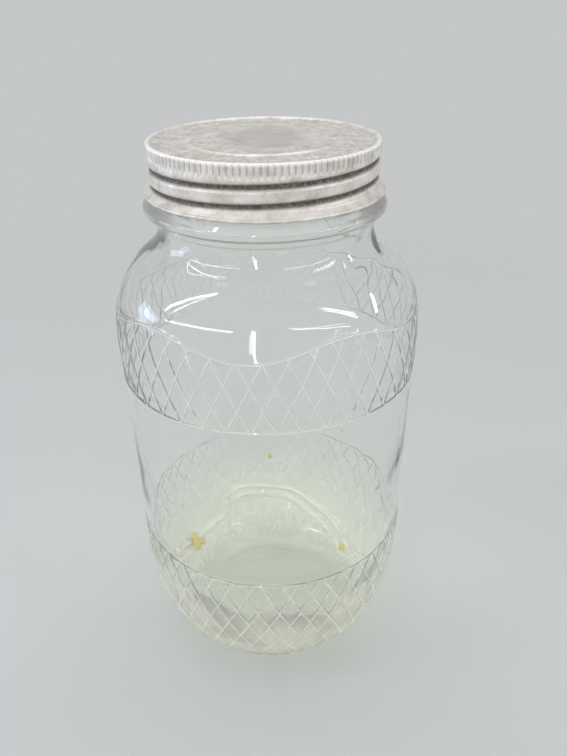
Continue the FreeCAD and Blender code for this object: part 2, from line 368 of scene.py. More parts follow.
def cutFlat(verts, faces, cuts, shift=None):
    # adds edges along the lines y = shift(x) + cut, so that a border ridge has its own edges
    mesh = bmesh.new()
    made = [mesh.verts.new((x, y - (shift(x) if shift else 0), 0)) for x, y in verts]
    for face in faces:
        mesh.faces.new([made[i] for i in face])
    loose = [v for v in mesh.verts if not v.link_faces]
    bmesh.ops.delete(mesh, geom=loose, context="VERTS")
    for cut in cuts:
        everything = mesh.verts[:] + mesh.edges[:] + mesh.faces[:]
        bmesh.ops.bisect_plane(mesh, geom=everything, dist=1e-7, plane_co=(0, cut, 0), plane_no=(0, 1, 0))
    mesh.verts.index_update()
    flat = np.array([(v.co.x, v.co.y + (shift(v.co.x) if shift else 0)) for v in mesh.verts])
    polygons = [tuple(v.index for v in face.verts) for face in mesh.faces]
    mesh.free()
    return flat, polygons


def mouldDepth(angle):
    s = latticeSizes
    turned = (np.degrees(angle) - s["faintDirection"] + 180) % 360 - 180
    return 1 - s["faintShare"] * np.exp(-(turned / s["faintWidth"]) ** 2)


def outsideWaves(angle, height):
    # slow unevenness of the outside, none where the jar stands on its heel
    return glassSizes["unevenOutside"] * smoothStep(1.5, 9, height) * waves(angle, height, 3, 7, 6, 18)


def latticeBand(whole, topLength, cell, levels, border, footCuts, borderCuts, footLine=False, fadeIn=0):
    # a band of crossing ribs under the line border(x); footLine adds a border line along its foot
    s = latticeSizes
    flat, faces = latticeFlat(levels)
    if footCuts:
        flat, faces = cutFlat(flat, faces, footCuts)
    flat, faces = cutFlat(flat, faces, borderCuts, shift=border)
    x, level = flat[:, 0], flat[:, 1]
    angle = np.radians(s["crossing"] + x * 360 / s["ribs"])
    radius, height, outRadius, outHeight = whole.at(topLength + (levels - level) * cell)
    width = 2 * math.pi * radius / s["ribs"]
    spacing = width * cell / np.hypot(width / 2, cell)
    p, q = x + level / 2, x - level / 2
    ribs = np.maximum(bump((p - np.round(p)) * spacing, s["ribHalfWidth"]),
                      bump((q - np.round(q)) * spacing, s["ribHalfWidth"]))
    away = (level - border(x)) * cell
    ribs = ribs * mouldDepth(angle) * (away <= 0)
    if fadeIn:
        ribs = ribs * smoothStep(0, fadeIn, level * cell)
    lines = bump(away, s["borderHalfWidth"])
    if footLine:
        lines = np.maximum(lines, bump(level * cell, s["borderHalfWidth"]))
    lines = lines * mouldDepth(angle)
    lift = np.maximum(ribs * s["ribHeight"], lines * s["borderHeight"])
    lift = lift + outsideWaves(angle, height)
    across = radius + outRadius * lift
    verts = np.stack([across * np.cos(angle), across * np.sin(angle), height + outHeight * lift], 1)
    return verts, faces, np.maximum(ribs, lines)


def joinMeshes(name, pieces):
    # pieces are (verts, faces, values); values are kept on the points as a float attribute for the material: rib
    # wear on the glass, and dirt with painted shade in the cap's groove and knurls
    mesh = bmesh.new()
    wearDirtAndShade = mesh.verts.layers.float.new("wearDirtAndShade")
    for verts, faces, values in pieces:
        made = [mesh.verts.new(Vector(v) * mm) for v in verts]
        for vert, value in zip(made, values):
            vert[wearDirtAndShade] = value
        for face in faces:
            mesh.faces.new([made[i] for i in face])
    bmesh.ops.remove_doubles(mesh, verts=mesh.verts, dist=0.004 * mm)
    loose = [v for v in mesh.verts if not v.link_faces]
    bmesh.ops.delete(mesh, geom=loose, context="VERTS")
    bmesh.ops.recalc_face_normals(mesh, faces=mesh.faces)
    for face in mesh.faces:
        face.smooth = True
    data = bpy.data.meshes.new(name)
    mesh.to_mesh(data)
    openEdges = sum(1 for e in mesh.edges if not e.is_manifold)
    print(name, "vertices", len(mesh.verts), "faces", len(mesh.faces), "open edges", openEdges)
    mesh.free()
    piece = bpy.data.objects.new(name, data)
    bpy.context.scene.collection.objects.link(piece)
    return piece


def diskCap(ring, height):
    # closes the small hole left on the axis
    centre = (0.0, 0.0, height)
    verts = [tuple(v) for v in ring] + [centre]
    count = len(ring)
    return np.array(verts), [(i, (i + 1) % count, count) for i in range(count)], np.zeros(count + 1)


def makeGlass():
    print("glass: profile and lattice")
    g, s = glassSizes, latticeSizes
    finish, body, foot = outerProfile()
    whole = Profile(finish + body + foot)
    cellAngles = np.array([k + t for k in range(s["ribs"]) for t in s["steps"]]) * 360 / s["ribs"]
    angles = np.radians(s["crossing"] + cellAngles)
    panelTopLength = whole.lengthAtHeight(g["panelTop"])
    upperLength = panelTopLength - s["upperLevels"] * s["upperCell"]
    lowerLength = whole.lengthAtHeight(g["panelBottom"] + s["lowerLift"])
    heelLength = len(finish) + len(body) - 1
    lowerCell = (whole.length[heelLength] - lowerLength) / s["lowerLevels"]

    def waveLevel(x):
        degrees = s["crossing"] + x * 360 / s["ribs"]
        height = s["waveHeight"] + s["waveRise"] * np.cos(
            np.radians(s["waveCount"] * (degrees - s["waveCrest"])))
        length = np.interp(-height, -whole.points[:, 1], whole.length)
        return (panelTopLength - length) / s["upperCell"]

    half = s["borderHalfWidth"]
    offsets = [half * k / 3 for k in range(-3, 4)]
    print("glass: upper band")
    cell = s["upperCell"]
    upper = latticeBand(whole, upperLength, cell, s["upperLevels"], waveLevel,
                        [o / cell for o in offsets if o > 0.01], [o / cell for o in offsets], footLine=True)
    print("glass: lower band")
    lineLevel = s["lowerLevels"] - s["lowerLift"] / lowerCell
    lower = latticeBand(whole, lowerLength, lowerCell, s["lowerLevels"], lambda x: lineLevel + 0 * x, [],
                        [o / lowerCell for o in offsets], fadeIn=4.0)

    def outsideLift(angle, height):
        lift = outsideWaves(angle, height)
        lift = lift + np.where(height > 218, threadRidge(angle, height), 0)
        return lift + bump(height - g["panelTop"], half) * s["borderHeight"] * mouldDepth(angle)

    def lineValue(angle, height):
        return bump(height - g["panelTop"], half) * mouldDepth(angle)

    def rowsAt(lengths):
        return [whole.at(length) for length in lengths]

    topLengths = [length for length in whole.length if length < upperLength - 0.2]
    thinned = [length for i, length in enumerate(topLengths) if i < len(finish) or i % 5 == 0]
    top = ringGrid(rowsAt(thinned + [upperLength]), angles, outsideLift)
    nearLine = [panelTopLength + o for o in offsets if o > -0.01]
    panelLengths = nearLine + list(np.linspace(nearLine[-1] + 1.5, lowerLength, 18))
    panel = ringGrid(rowsAt(panelLengths), angles, outsideLift, lineValue)
    base = ringGrid(rowsAt(whole.length[heelLength:]), angles, outsideLift)
    print("glass: inside")
    inner = Profile(innerProfile())

    def foldAt(angle, height):
        degrees = np.degrees(angle) % 360
        places = np.array(g["foldPlaces"])
        middle = sum(np.interp(degrees + turn, places[:, 0], places[:, 1], period=360)
                     for turn in (-2, 0, 2)) / 3
        ridges = [bump(height - middle + g["foldGap"] * k, g["foldHalfWidth"]) for k in (0, 1)]
        return np.maximum(ridges[0], 0.7 * ridges[1])

    def insideLift(angle, height):
        calm = 1 - smoothStep(203, 217, height)
        heel = smoothStep(7, 18, height) * (1 - smoothStep(46, 72, height))
        panel = 1 - 0.5 * smoothStep(62, 75, height) * (1 - smoothStep(125, 140, height))
        slow = g["unevenInside"] * calm * panel * waves(angle, height, 11, 12, 5, 22)
        slow = slow + (g["unevenNeck"] * calm * smoothStep(178, 196, height)
                       * waves(angle, height, 31, 12, 13, 70))
        slow = slow + heel * g["unevenHeel"] * waves(angle, height, 23, 12, 9, 34)
        return slow + g["foldRise"] * foldAt(angle, height)

    def foldValue(angle, height):
        return 0.9 * foldAt(angle, height)

    inside = ringGrid([inner.at(length) for length in inner.length], angles, insideLift, foldValue)
    count = len(angles)
    mouthRing = inside[0][-count:]
    lipRing = top[0][:count]
    lip = (np.concatenate([mouthRing, lipRing]),
           [(i, (i + 1) % count, count + (i + 1) % count, count + i) for i in range(count)], np.zeros(2 * count))
    floorRing = inside[0][:count]
    baseRing = base[0][-count:]
    pieces = [top, upper, panel, lower, base, diskCap(baseRing, g["pushUp"]),
              inside, lip, diskCap(floorRing, float(np.mean(floorRing[:, 2])))]
    piece = joinMeshes("pressed_glass_jar", pieces)
    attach(piece, "root")
    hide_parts("jar")

    def insidePlace(degrees, height):
        # a place on the inside surface and the direction into the jar
        length = float(np.interp(height, inner.points[:, 1], inner.length))
        radius, level, outRadius, outHeight = inner.at(length)
        angle = math.radians(degrees)
        rise = float(insideLift(np.array([angle]), np.array([height]))[0])
        around = Vector((math.cos(angle), math.sin(angle), 0))
        inward = around * outRadius + Vector((0, 0, outHeight))
        return (around * (radius + outRadius * rise) + Vector((0, 0, level + outHeight * rise))) * mm, inward

    return piece, insidePlace


# Dry crumbs left inside
crumbs = (
    # direction, height, across, along, thick, colour
    (90.6, 48.0, 1.8, 3.6, 1.2, "#C9B15A"),
    (84.0, 44.0, 1.2, 1.6, 0.8, "#D8CDA0"),
    (157.0, 20.5, 5.4, 8.4, 1.8, "#DCC878"),
    (151.0, 17.5, 4.6, 5.0, 1.6, "#D8C27A"),
    (164.0, 24.0, 3.0, 4.0, 1.2, "#E9E3C8"),
    (171.0, 26.0, 4.0, 2.2, 1.0, "#F2EFE2"),
    (176.5, 28.5, 2.4, 4.0, 1.0, "#F2EFE2"),
    (23.2, 15.0, 3.6, 3.8, 2.4, "#D6CB78"),
    (129.3, 12.0, 1.3, 1.5, 0.9, "#F4F3EC"),
    (95.8, 26.0, 1.1, 1.2, 0.8, "#F4F3EC"),
    (45.4, 76.3, 1.2, 1.6, 0.6, "#CDBB6C"),
)


def makeCrumbs(insidePlace):
    print("crumbs")
    rng = random.Random(4)
    for number, (degrees, height, across, along, thick, colour) in enumerate(crumbs):
        place, inward = insidePlace(degrees, height)
        mesh = bmesh.new()
        bmesh.ops.create_icosphere(mesh, subdivisions=3, radius=0.5)
        offsets = [rng.uniform(0, 6.28) for _ in range(6)]
        for vert in mesh.verts:
            x, y, z = vert.co * 2
            rough = math.sin(4.1 * x + offsets[0]) * math.sin(3.7 * y + offsets[1])
            rough += 0.6 * math.sin(7.3 * z + offsets[2])
            rough += 0.4 * math.sin(9.1 * x + offsets[3]) * math.sin(8.3 * y + offsets[4])
            vert.co *= 1 + 0.16 * rough
            vert.co = Vector((vert.co.x * across, vert.co.y * along, vert.co.z * thick)) * mm
        turn = inward.to_track_quat("Z", "Y").to_matrix().to_4x4()
        mesh.transform(Matrix.Translation(place + inward * thick * 0.42 * mm) @ turn)
        data = bpy.data.meshes.new("crumb")
        for face in mesh.faces:
            face.smooth = True
        mesh.to_mesh(data)
        mesh.free()
        piece = bpy.data.objects.new("crumb_%d" % (number + 1), data)
        bpy.context.scene.collection.objects.link(piece)
        data.materials.append(dryCrumb(colour))
        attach(piece, "root")


def dryCrumb(colour):
    # Dried bits of food: matt and grainy, with paler and darker grains
    material, tree = newMaterial("dryCrumb")
    place = addNode(tree, "ShaderNodeTexCoord")
    grains = addNode(tree, "ShaderNodeTexNoise", {"Scale": 1 / 0.0009, "Detail": 4.0},
                     Vector=place.outputs["Object"])
    shade = addNode(tree, "ShaderNodeMix", {"data_type": "RGBA"}, i0=grains.outputs["Fac"])
    base = toLinear(colour)
    shade.inputs[6].default_value = tuple(v * 0.7 for v in base[:3]) + (1,)
    shade.inputs[7].default_value = tuple(min(1, v * 1.2) for v in base[:3]) + (1,)
    relief = addNode(tree, "ShaderNodeBump", {"Strength": 0.6, "Distance": 0.0003},
                     Height=grains.outputs["Fac"])
    crumb = addNode(tree, "ShaderNodeBsdfPrincipled", {"Roughness": 0.8, "IOR": 1.45},
                    Base_Color=shade.outputs[2],
                    Normal=relief.outputs["Normal"])
    addNode(tree, "ShaderNodeOutputMaterial", None, Surface=crumb.outputs["BSDF"])
    return material


# The screw cap
capSizes = {
    "radius": 43.7,
    "sheet": 0.4,
    "rimWidth": 2.1,
    "rimDrop": 0.6,
    "panelRadius": 28.5,
    "panelRise": 0.5,
    "knurls": 120,
    "knurlDepth": 0.5,
    "knurlFoot": 229.0,
    "grooveHalfWidth": 1.95,
    "grooveDepth": 1.2,
    "grooveStart": -200.0,
    "grooveEnd": 380.0,
    "grooveFade": 40.0,
    "flareTop": 219.0,
    "curlRadius": 0.65,
    "curlReach": 46.0,
    "curlHeight": 216.75,
    "dents": 0.07,
    "topSag": 0.10,
    "columns": 960,
}


def capGroove(angle, height):
    c = capSizes
    total = np.zeros(np.broadcast(angle, height).shape)
    for turn in (-1, 0, 1):
        degrees = np.degrees(angle) + 360 * turn
        middle = glassSizes["grooveFrontHeight"] + glassSizes["threadPitch"] * (degrees + 90) / 360
        share = smoothStep(c["grooveStart"], c["grooveStart"] + c["grooveFade"], degrees)
        share = share * (1 - smoothStep(c["grooveEnd"] - c["grooveFade"], c["grooveEnd"], degrees))
        total = np.maximum(total, share * bump(height - middle, c["grooveHalfWidth"]))
    return total * c["grooveDepth"]


def capFlutes(angle, height):
    # rolled knurls, deepest under the rim, running out at the foot of their band and over the crest
    c = capSizes
    turn = angle * c["knurls"] / (2 * math.pi)
    flute = (1 - np.abs(2 * (turn - np.floor(turn)) - 1)) ** 1.5
    foot = smoothStep(c["knurlFoot"], c["knurlFoot"] + 2.6, height)
    return flute * foot


def makeCap():
    print("cap: sheet metal")
    c = capSizes
    fieldTop = overallHeight - c["rimDrop"]
    radius = c["radius"]
    curl = (c["curlReach"] - c["curlRadius"], c["curlHeight"])
    skirt = [(radius, overallHeight - 1.2 - 0.36 * i, 0) for i in range(40)]
    outside = roundedPath([
        (0.4, fieldTop + c["panelRise"], 0),
        *[(2.0 * i, fieldTop + c["panelRise"], 0) for i in range(1, 14)],
        (c["panelRadius"], fieldTop + c["panelRise"], 0.5),
        (c["panelRadius"] + 0.6, fieldTop, 0.5),
        *[(c["panelRadius"] + 1.5 + 0.5 * i, fieldTop, 0) for i in range(22)],
        (radius - c["rimWidth"], fieldTop, 0.4),
        (radius - c["rimWidth"] + c["rimDrop"], overallHeight, 0.5),
        (radius, overallHeight, 0.75),
        *skirt,
        (radius, c["flareTop"], 1.5),
        (curl[0] - 0.15, curl[1] + 0.75, 0.3),
        (curl[0], curl[1] + c["curlRadius"], 0),
    ])
    roll = arcPoints(curl, c["curlRadius"], 80, -170, 14)
    wall = radius - c["sheet"]
    under = fieldTop - c["sheet"] + 0.03
    inside = roundedPath([
        (curl[0] - c["curlRadius"], curl[1] + 0.3, 0),
        (wall, c["flareTop"] - 0.2, 1.2),
        *[(wall, c["flareTop"] + 0.6 + 0.6 * i, 0) for i in range(23)],
        (wall, under, 0.8),
        *[(wall - 4.0 * i, under, 0) for i in range(1, 4)],
        (c["panelRadius"] + 0.2, under, 0.3),
        (c["panelRadius"] - 0.4, under + c["panelRise"], 0.3),
        *[(c["panelRadius"] - 4.0 * i, under + c["panelRise"], 0) for i in range(1, 7)],
        (0.4, under + c["panelRise"], 0),
    ])
    run = Profile(outside + roll + inside)
    steps = np.diff(run.length)
    rows = [run.at(length) for length, step in zip(run.length, np.append(steps, 1)) if step > 1e-6]
    angles = np.linspace(0, 2 * math.pi, c["columns"], endpoint=False)
    radii, heights = [np.array(column)[:, None] for column in list(zip(*rows))[:2]]
    angle = angles[None, :]
    side = np.where(radii > radius - 1.2, 1.0, 0.0) * smoothStep(c["flareTop"] - 0.6,
                                                                 c["flareTop"] + 1.0, heights)
    flutes, groove = side * capFlutes(angle, heights), side * capGroove(angle, heights)
    inward = c["knurlDepth"] * flutes + groove
    dent = c["dents"] * (waves(angle, heights * 2, 5, 9, 9, 60) - 1.5)
    inward = inward - side * np.minimum(dent, 0)
    topDent = np.where(heights > fieldTop - 0.6, 1.0, 0.0) * smoothStep(radius, radius - 4, radii)
    across = radii - inward
    x, y = across * np.cos(angle), across * np.sin(angle)
    sag = np.cos(x * 0.11 + 1.0) * np.cos(y * 0.13 + 0.4) + 0.5 * np.cos(x * 0.31) * np.cos(y * 0.27 + 2) - 1.6
    sag = c["topSag"] * topDent * sag
    verts = np.stack([x, y, heights + 0 * angle + sag], 2).reshape(-1, 3)
    # dark in the thread groove and between the knurls: brown dirt with painted shade in these hollows
    grooveDirtAndShade = smoothStep(0.12, 0.9, groove / c["grooveDepth"])
    wearDirtAndShade = np.maximum(grooveDirtAndShade, 0.5 * smoothStep(0.45, 1.0, flutes)).ravel()
    count = len(angles)
    faces = [(low + k, low + (k + 1) % count, low + count + (k + 1) % count, low + count + k)
             for low in range(0, (len(rows) - 1) * count, count) for k in range(count)]
    top = diskCap(verts[:count], float(verts[:count, 2].mean()))
    below = diskCap(verts[-count:], float(verts[-count:, 2].mean()))
    piece = joinMeshes("screw_cap", [(verts, faces, wearDirtAndShade), top, below])
    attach(piece, "root")
    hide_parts("cap")
    return piece


def axisDistance(tree, place):
    # how far a point lies from the jar's axis
    flatPlace = addNode(tree, "ShaderNodeVectorMath", {"operation": "MULTIPLY"}, i0=place.outputs["Object"])
    flatPlace.inputs[1].default_value = (1, 1, 0)
    return addNode(tree, "ShaderNodeVectorMath", {"operation": "LENGTH"}, i0=flatPlace.outputs["Vector"])


glassFinish = {
    "clear": "#FCFDFC",
    "heel": "#FBFAF3",                  # iron shows where the glass is thick
    "depthColour": "#E6E8D8",
    "depthDensity": 2.2,
    "shadow": "#F0F3EE",
    "film": "#F6F7F2",
    "heelFilm": "#F4F3E2",
    "filmShare": (0.04, 0.42),          # plain wall, rib crest
    "heelHaze": 0.36,
    "beadHaze": 0.16,
    "stain": "#E2D692",
    "stainPlace": (0.026, -0.042, 0.011),
}


def clearGlass():
    # Pressed soda-lime glass: fire-polished, so it shines without blur; the iron in the sand gives
    # its thick heel a faint yellow-green, slow waves bend what lies behind it, and the raised ribs
    # are scuffed pale under a thin film of age.
    f = glassFinish
    material, tree = newMaterial("pressedSodaLimeGlass")
    place = addNode(tree, "ShaderNodeTexCoord")
    ripple = addNode(tree, "ShaderNodeTexNoise", {"Scale": 1 / 0.020, "Detail": 1.0},
                     Vector=place.outputs["Object"])
    relief = addNode(tree, "ShaderNodeBump", {"Strength": 0.2, "Distance": 0.0008},
                     Height=ripple.outputs["Fac"])
    parts = addNode(tree, "ShaderNodeSeparateXYZ", None, Vector=place.outputs["Object"])
    heel = addNode(tree, "ShaderNodeMapRange",
                   {"From Min": 0.0, "From Max": 0.07, "To Min": 1.0, "To Max": 0.0},
                   Value=parts.outputs["Z"])
    tint = addNode(tree, "ShaderNodeMix", {"data_type": "RGBA"}, i0=heel.outputs["Result"])
    tint.inputs[6].default_value, tint.inputs[7].default_value = toLinear(f["clear"]), toLinear(f["heel"])
    fromStain = addNode(tree, "ShaderNodeVectorMath", {"operation": "DISTANCE"}, i0=place.outputs["Object"])
    fromStain.inputs[1].default_value = f["stainPlace"]
    stainShare = addNode(tree, "ShaderNodeMapRange", {"From Min": 0.004, "From Max": 0.013, "To Min": 0.7,
                         "To Max": 0.0}, Value=fromStain.outputs["Value"])
    stained = addNode(tree, "ShaderNodeMix", {"data_type": "RGBA"}, i0=stainShare.outputs["Result"],
                      i6=tint.outputs[2])
    stained.inputs[7].default_value = toLinear(f["stain"])   # old yellow stain on one side of the heel
    glass = addNode(tree, "ShaderNodeBsdfPrincipled",
                    {"Roughness": 0.0, "IOR": 1.52, "Transmission Weight": 1.0},
                    Base_Color=stained.outputs[2], Normal=relief.outputs["Normal"])
    raised = addNode(tree, "ShaderNodeAttribute", {"attribute_name": "wearDirtAndShade"})
    cloud = addNode(tree, "ShaderNodeTexNoise", {"Scale": 1 / 0.007, "Detail": 4.0},
                    Vector=place.outputs["Object"])
    scuff = addNode(tree, "ShaderNodeMath", {"operation": "MULTIPLY"}, i0=raised.outputs["Fac"],
                    i1=cloud.outputs["Fac"])
    scuffed = addNode(tree, "ShaderNodeMapRange",
                      {"From Min": 0.0, "From Max": 0.6, "To Min": f["filmShare"][0],
                      "To Max": f["filmShare"][1]}, Value=scuff.outputs[0])
    low = addNode(tree, "ShaderNodeMapRange", {"From Min": 0.020, "From Max": 0.060, "To Min": f["heelHaze"],
                  "To Max": 0.0}, Value=parts.outputs["Z"])
    fromAxis = axisDistance(tree, place)
    wallSide = addNode(tree, "ShaderNodeMapRange", {"From Min": 0.038, "From Max": 0.054},
                       Value=fromAxis.outputs["Value"])   # the floor inside stays clear
    hazyHeel = addNode(tree, "ShaderNodeMath", {"operation": "MULTIPLY"}, i0=low.outputs["Result"],
                       i1=wallSide.outputs["Result"])
    high = addNode(tree, "ShaderNodeMapRange", {"From Min": 0.200, "From Max": 0.207, "To Min": 0.0,
                   "To Max": f["beadHaze"]}, Value=parts.outputs["Z"])
    ends = addNode(tree, "ShaderNodeMath", {"operation": "ADD"}, i0=hazyHeel.outputs[0],
                   i1=high.outputs["Result"])
    share = addNode(tree, "ShaderNodeMath", {"operation": "ADD"}, i0=scuffed.outputs["Result"],
                    i1=ends.outputs[0])
    filmColour = addNode(tree, "ShaderNodeMix", {"data_type": "RGBA"}, i0=heel.outputs["Result"])
    filmColour.inputs[6].default_value = toLinear(f["film"])
    filmColour.inputs[7].default_value = toLinear(f["heelFilm"])
    film = addNode(tree, "ShaderNodeBsdfDiffuse", None, Color=filmColour.outputs[2])
    aged = addNode(tree, "ShaderNodeMixShader", None, i0=share.outputs[0], i1=glass.outputs["BSDF"],
                   i2=film.outputs["BSDF"])
    clear = addNode(tree, "ShaderNodeBsdfTransparent", {"Color": toLinear(f["shadow"])})
    path = addNode(tree, "ShaderNodeLightPath")
    mixed = addNode(tree, "ShaderNodeMixShader", None, i0=path.outputs["Is Shadow Ray"],
                    i1=aged.outputs["Shader"], i2=clear.outputs["BSDF"])
    depth = addNode(tree, "ShaderNodeVolumeAbsorption", {"Color": toLinear(f["depthColour"]),
                    "Density": f["depthDensity"]})
    addNode(tree, "ShaderNodeOutputMaterial", None, Surface=mixed.outputs["Shader"],
            Volume=depth.outputs["Volume"])
    return material


steelFinish = {
    "plating": ("#C6BFB7", "#E3DED7", "#F4F2EF"),   # dull to bright
    # brown dirt with painted shade, laid in the thread groove and between the knurls
    "dirtAndShade": "#4A4238",
    "pit": "#9A9089",
    "darkerMiddle": "#B9B2B4",
    # painted highlight: near-white colour laid along the rim's crest
    "rimHighlight": "#FCFBF8",
    "metallic": (0.62, 0.1),                        # clean, under dirt and painted shade
    "roughness": (0.36, 0.60),
}


def wornSteelWithPaintedLight():
    # Tin-plated steel, stamped and rolled: pale satin grey where hands have rubbed it, a fine stipple on the
    # top, a darker grey middle, a painted highlight along the rim, and brown dirt with painted shade in the
    # thread groove and between the knurls.
    c, f = capSizes, steelFinish
    material, tree = newMaterial("stampedTinPlatedSteel")
    place = addNode(tree, "ShaderNodeTexCoord")
    parts = addNode(tree, "ShaderNodeSeparateXYZ", None, Vector=place.outputs["Object"])
    film = addNode(tree, "ShaderNodeTexNoise", {"Scale": 1 / 0.006, "Detail": 8.0, "Roughness": 0.7},
                   Vector=place.outputs["Object"])
    speck = addNode(tree, "ShaderNodeTexNoise", {"Scale": 1 / 0.0012, "Detail": 3.0},
                    Vector=place.outputs["Object"])
    colours = addNode(tree, "ShaderNodeValToRGB", None, Fac=film.outputs["Fac"])
    ramp = colours.color_ramp
    ramp.elements[0].position, ramp.elements[0].color = 0.30, toLinear(f["plating"][0])
    ramp.elements[1].position, ramp.elements[1].color = 0.66, toLinear(f["plating"][2])
    between = ramp.elements.new(0.48)
    between.color = toLinear(f["plating"][1])
    hollow = addNode(tree, "ShaderNodeAttribute", {"attribute_name": "wearDirtAndShade"})
    broken = addNode(tree, "ShaderNodeMapRange",
                     {"From Min": 0.25, "From Max": 0.6, "To Min": 0.78, "To Max": 1.0},
                     Value=speck.outputs["Fac"])
    dirtAndShade = addNode(tree, "ShaderNodeMath", {"operation": "MULTIPLY"}, i0=hollow.outputs["Fac"],
                   i1=broken.outputs["Result"])
    # brown dirt with painted shade in the groove and between the knurls
    dirtAndShadeColour = addNode(tree, "ShaderNodeMix", {"data_type": "RGBA"}, i0=dirtAndShade.outputs[0],
                         i6=colours.outputs["Color"])
    dirtAndShadeColour.inputs[7].default_value = toLinear(f["dirtAndShade"])
    # stipple of the pressed top, drawn at 1.7 mm, about twice its size, so that it shows
    stipple = addNode(tree, "ShaderNodeTexVoronoi", {"Scale": 1 / 0.0017, "Randomness": 1.0},
                      Vector=place.outputs["Object"])
    crinkle = addNode(tree, "ShaderNodeTexNoise", {"Scale": 1 / 0.0045, "Detail": 3.0, "Distortion": 1.2},
                      Vector=place.outputs["Object"])
    pattern = addNode(tree, "ShaderNodeMath", {"operation": "ADD"}, i0=stipple.outputs["Distance"],
                      i1=crinkle.outputs["Fac"])
    smoothMiddle = addNode(tree, "ShaderNodeVectorMath", {"operation": "MULTIPLY"},
                           i0=place.outputs["Object"])
    smoothMiddle.inputs[1].default_value = (1 / 0.020, 1 / 0.0275, 0)   # rubbed smooth in the middle
    outward = addNode(tree, "ShaderNodeVectorMath", {"operation": "LENGTH"},
                      i0=smoothMiddle.outputs["Vector"])
    patterned = addNode(tree, "ShaderNodeMapRange", {"From Min": 0.6, "From Max": 1.2},
                        Value=outward.outputs["Value"])
    fromAxis = axisDistance(tree, place)
    fieldEdge = c["radius"] - c["rimWidth"]
    insideRim = addNode(tree, "ShaderNodeMapRange",
                        {"From Min": fieldEdge * mm, "From Max": (fieldEdge - 0.4) * mm},
                        Value=fromAxis.outputs["Value"])
    fromRing = addNode(tree, "ShaderNodeMath", {"operation": "COMPARE"}, i0=fromAxis.outputs["Value"])
    fromRing.inputs[1].default_value, fromRing.inputs[2].default_value = (c["panelRadius"] + 0.3) * mm, 0.9 * mm
    besideRing = addNode(tree, "ShaderNodeMath", {"operation": "SUBTRACT"}, i0=insideRim.outputs["Result"],
                         i1=fromRing.outputs[0])   # the raised middle's step stays plain
    patternedField = addNode(tree, "ShaderNodeMath", {"operation": "MULTIPLY", "use_clamp": True},
                             i0=patterned.outputs["Result"], i1=besideRing.outputs[0])
    onTop = addNode(tree, "ShaderNodeMapRange", {"From Min": (overallHeight - 0.95) * mm,
                    "From Max": (overallHeight - 0.85) * mm}, Value=parts.outputs["Z"])
    where = addNode(tree, "ShaderNodeMath", {"operation": "MULTIPLY"}, i0=patternedField.outputs[0],
                    i1=onTop.outputs["Result"])
    pitted = addNode(tree, "ShaderNodeMapRange",
                     {"From Min": 0.75, "From Max": 1.15, "To Min": 0.0, "To Max": 0.30},
                     Value=pattern.outputs[0])
    pittedTop = addNode(tree, "ShaderNodeMath", {"operation": "MULTIPLY"}, i0=pitted.outputs["Result"],
                        i1=where.outputs[0])
    topColour = addNode(tree, "ShaderNodeMix", {"data_type": "RGBA"}, i0=pittedTop.outputs[0],
                        i6=dirtAndShadeColour.outputs[2])
    topColour.inputs[7].default_value = toLinear(f["pit"])
    middle = addNode(tree, "ShaderNodeMapRange",
                     {"From Min": 0.55, "From Max": 1.0, "To Min": 0.6, "To Max": 0.0},
                     Value=outward.outputs["Value"])
    middleTop = addNode(tree, "ShaderNodeMath", {"operation": "MULTIPLY"}, i0=middle.outputs["Result"],
                        i1=onTop.outputs["Result"])
    greyMiddle = addNode(tree, "ShaderNodeMix", {"data_type": "RGBA"}, i0=middleTop.outputs[0],
                         i6=topColour.outputs[2])
    greyMiddle.inputs[7].default_value = toLinear(f["darkerMiddle"])   # darker mauve grey in the middle of the top
    # the rim's crest is painted near white as a highlight
    atRim = addNode(tree, "ShaderNodeMapRange", {"From Min": (c["radius"] - 1.7) * mm, "To Max": 0.85,
                    "From Max": (c["radius"] - 0.9) * mm}, Value=fromAxis.outputs["Value"])
    onCrest = addNode(tree, "ShaderNodeMapRange", {"From Min": (overallHeight - 1.5) * mm, "To Max": 1.0,
                      "From Max": (overallHeight - 0.7) * mm}, Value=parts.outputs["Z"])
    rimHighlightShare = addNode(tree, "ShaderNodeMath", {"operation": "MULTIPLY"}, i0=atRim.outputs["Result"],
                     i1=onCrest.outputs["Result"])
    rimHighlightColour = addNode(tree, "ShaderNodeMix", {"data_type": "RGBA"}, i0=rimHighlightShare.outputs[0],
                        i6=greyMiddle.outputs[2])
    rimHighlightColour.inputs[7].default_value = toLinear(f["rimHighlight"])   # painted highlight along the rim
    metalShare = addNode(tree, "ShaderNodeMapRange",
                         {"From Min": 0.0, "From Max": 1.0, "To Min": f["metallic"][0],
                         "To Max": f["metallic"][1]}, Value=dirtAndShade.outputs[0])
    rough = addNode(tree, "ShaderNodeMapRange",
                    {"From Min": 0.3, "From Max": 0.7, "To Min": f["roughness"][0],
                    "To Max": f["roughness"][1]}, Value=speck.outputs["Fac"])
    both = addNode(tree, "ShaderNodeMath", {"operation": "MULTIPLY"}, i0=pattern.outputs[0],
                   i1=where.outputs[0])
    grain = addNode(tree, "ShaderNodeBump", {"Strength": 1.0, "Distance": 0.00035}, Height=both.outputs[0])
    pits = addNode(tree, "ShaderNodeBump", {"Strength": 0.5, "Distance": 0.00025},
                   Height=speck.outputs["Fac"],
                   Normal=grain.outputs["Normal"])
    metal = addNode(tree, "ShaderNodeBsdfPrincipled", None, Base_Color=rimHighlightColour.outputs[2],
                    Metallic=metalShare.outputs["Result"], Roughness=rough.outputs["Result"],
                    Normal=pits.outputs["Normal"])
    addNode(tree, "ShaderNodeOutputMaterial", None, Surface=metal.outputs["BSDF"])
    return material


studio = {
    "floorColour": "#C8CACB",
    "backdropColour": "#C5C7C8",
    "fillStrength": 0.59,
    "ceilingPower": 8.5,
    "floorRadius": 4.0,
    "floorFade": (0.28, 0.75),   # distance over which the floor runs into the backdrop
}


